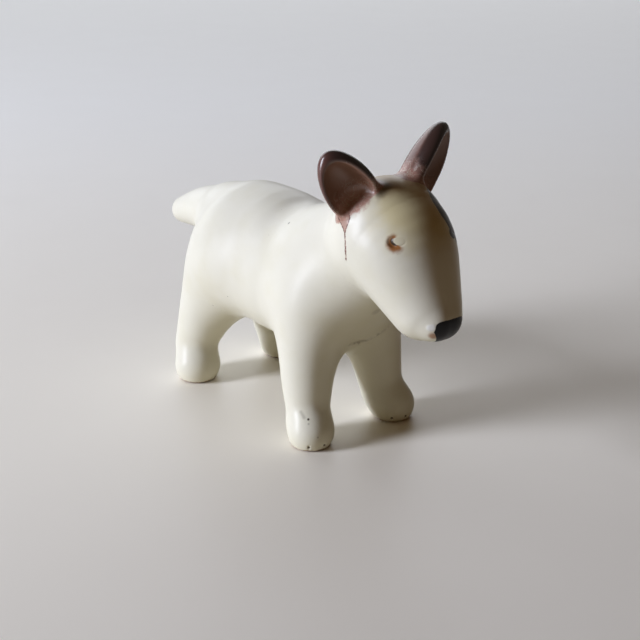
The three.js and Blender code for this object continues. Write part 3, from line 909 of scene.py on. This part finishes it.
def make_dog():
    """Every piece of the dog, cut at the same joints as its solids."""
    cream = body_glaze()
    sides = SIDES.values()
    legs = [joint_on(side, joint) for side in sides for joint in (FORELEG_JOINT, HINDLEG_JOINT)]
    seam = np.array(SEAM)
    seam_points = (*seam, *(0.5 * (seam[1:] + seam[:-1])))
    seam_spots = [(point, FINE_RADIUS["seam"]) for point in seam_points]
    make_piece("torso", cream, TORSO_BLOCK, BODY_FACET,
               [NECK_JOINT, TAIL_JOINT, *legs], seam_spots)
    make_piece("tail", cream, TAIL_BLOCK, LIMB_FACET, [flipped(TAIL_JOINT)])
    eye_spots = [(mirrored(EYE_AT, side), FINE_RADIUS["eye"]) for side in sides]
    nose_spots = [(NOSE_DROP["start"], FINE_RADIUS["nose"])]
    make_piece("head", head_glaze(), HEAD_BLOCK, LIMB_FACET,
               [flipped(NECK_JOINT), *map(ear_joint, sides)], eye_spots + nose_spots)
    for name, side in SIDES.items():
        brown = ear_glaze(name, side)
        make_piece(f"ear_{name}", brown, block_on(side, EAR_BLOCK), EAR_FACET,
                   [flipped(ear_joint(side))])
        toe_spots = [(0.5 * (low + high), FINE_RADIUS["toe"]) for low, high in toe_lines(side)]
        make_piece(f"foreleg_{name}", cream, block_on(side, FORELEG_BLOCK), LIMB_FACET,
                   [flipped(joint_on(side, FORELEG_JOINT))], toe_spots + seam_spots)
        make_piece(f"hindleg_{name}", cream, block_on(side, HINDLEG_BLOCK), LIMB_FACET,
                   [flipped(joint_on(side, HINDLEG_JOINT))])


# Camera of the photograph: where it looks, from which side, and its focal length in pixels.
CAMERA_TARGET = (10.9, 0, 25.85)
CAMERA_AZIMUTH = 53.4
CAMERA_ELEVATION = 21.25
CAMERA_ROLL = -0.56
CAMERA_DISTANCE = 285
FOCAL_PIXELS = 1100
FRAME_PIXELS = 640

# Lamps: the side that each shines from, its tilt in its own plane, distance, size, power and colour.
WINDOW = {
    "azimuth": -20,
    "elevation": 20,
    "tilt": 15,
    "distance": 1200,
    "size": (280, 760),
    "watts": 17.1,
    "colour": (0.85, 0.88, 1),
}
WALL = {
    "azimuth": 251,
    "elevation": 23,
    "tilt": 0,
    "distance": 2400,
    "size": (4000, 1450),
    "watts": 31,
    "colour": (0.91, 0.95, 1),
}

# Light of the room, dim and warm, and the pale backdrop that is seen behind the figure.
ROOM = (0.045, 0.02, 0.004)
BACKGROUND = (0.14, 0.12, 0.1)

# The floor's pale paper, with painted light making it paler and cooler towards the back. It lights the
# figure from below near by, and the dim room round it does not.
FLOOR = (0.94, 0.91, 0.83)
FLOOR_BEHIND_LIT = (0.97, 0.99, 1)
FLOOR_FADE = (0, 500)
FLOOR_GLOW = (0.82, 0.74, 0.54)
FAR_GLOW = (0.13, 0.06, 0.015)
GLOW_REACH = (90, 260)
FLOOR_SIZE = 8000
FLOOR_MOTTLE = {"size": 40, "depth": 0.03}
FLOOR_SATIN = {"size": 12, "roughness": (0.4, 0.46)}


def from_side(azimuth, elevation):
    """Direction towards a viewer or lamp: azimuth 0 is at -Y, and 90 is at +X."""
    a, e = math.radians(azimuth), math.radians(elevation)
    return Vector((math.sin(a) * math.cos(e), -math.cos(a) * math.cos(e), math.sin(e)))


def place_facing(thing, target, direction, distance):
    thing.location = (Vector(target) + direction * distance) * MM
    thing.rotation_euler = direction.to_track_quat("Z", "Y").to_euler()
    bpy.context.scene.collection.objects.link(thing)


def make_camera():
    lens = bpy.data.cameras.new("camera")
    lens.lens = lens.sensor_width * FOCAL_PIXELS / FRAME_PIXELS
    lens.clip_start = 10 * MM
    camera = bpy.data.objects.new("camera", lens)
    place_facing(camera, CAMERA_TARGET, from_side(CAMERA_AZIMUTH, CAMERA_ELEVATION), CAMERA_DISTANCE)
    camera.rotation_euler.rotate_axis("Z", math.radians(CAMERA_ROLL))
    bpy.context.scene.camera = camera


def make_lamp(name, azimuth, elevation, tilt, distance, size, watts, colour):
    """A flat soft lamp that shines on the figure."""
    light = bpy.data.lights.new(name, "AREA")
    light.shape = "RECTANGLE"
    light.size, light.size_y = (side * MM for side in size)
    light.energy = watts
    light.color = colour
    lamp = bpy.data.objects.new(name, light)
    lamp.visible_camera = False
    place_facing(lamp, (0, 0, 0), from_side(azimuth, elevation), distance)
    lamp.rotation_euler.rotate_axis("Z", math.radians(tilt))


def seen_share(tree):
    """1 where a ray shows what is behind the figure, and 0 where it only carries light."""
    path = tree.nodes.new("ShaderNodeLightPath")
    share = path.outputs["Is Camera Ray"]
    for kind in ("Is Glossy Ray", "Is Transmission Ray"):
        either = tree.nodes.new("ShaderNodeMath")
        either.operation = "MAXIMUM"
        tree.links.new(share, either.inputs[0])
        tree.links.new(path.outputs[kind], either.inputs[1])
        share = either.outputs[0]
    return share


def make_room():
    """Dim light of the room, with a plain pale backdrop."""
    world = bpy.data.worlds.new("room")
    bpy.context.scene.world = world
    world.use_nodes = True
    tree = world.node_tree
    tone = tree.nodes.new("ShaderNodeMix")
    tone.data_type = "RGBA"
    tone.inputs[6].default_value = (*ROOM, 1)
    tone.inputs[7].default_value = (*BACKGROUND, 1)
    tree.links.new(seen_share(tree), tone.inputs["Factor"])
    tree.links.new(tone.outputs[2], tree.nodes["Background"].inputs["Color"])


def make_floor():
    half = FLOOR_SIZE / 2 * MM
    corners = [(-half, -half, 0), (half, -half, 0), (half, half, 0), (-half, half, 0)]
    mesh = bpy.data.meshes.new("floor")
    mesh.from_pydata(corners, [], [(0, 1, 2, 3)])
    paper = Glaze("floor_paper")
    behind = paper.along((0, 0, 0), -from_side(CAMERA_AZIMUTH, 0))
    tone = paper.mix(paper.fade(behind, *FLOOR_FADE), FLOOR, FLOOR_BEHIND_LIT)
    mottle = paper.span(paper.noise(FLOOR_MOTTLE["size"], 3), 0.0, FLOOR_MOTTLE["depth"])
    tone = paper.mix(mottle, tone, (0, 0, 0))
    glow = paper.mix(paper.fade(paper.away((0, 0, 0)), *GLOW_REACH), FLOOR_GLOW, FAR_GLOW)
    tone = paper.mix(seen_share(paper.tree), glow, tone)
    mesh.materials.append(paper.finish(tone, satin(paper, FLOOR_SATIN)))
    floor = bpy.data.objects.new("floor", mesh)
    bpy.context.scene.collection.objects.link(floor)


make_camera()
make_lamp("window", **WINDOW)
make_lamp("wall", **WALL)
make_room()
make_floor()
make_dog()
bpy.context.scene.view_settings.view_transform = "Standard"
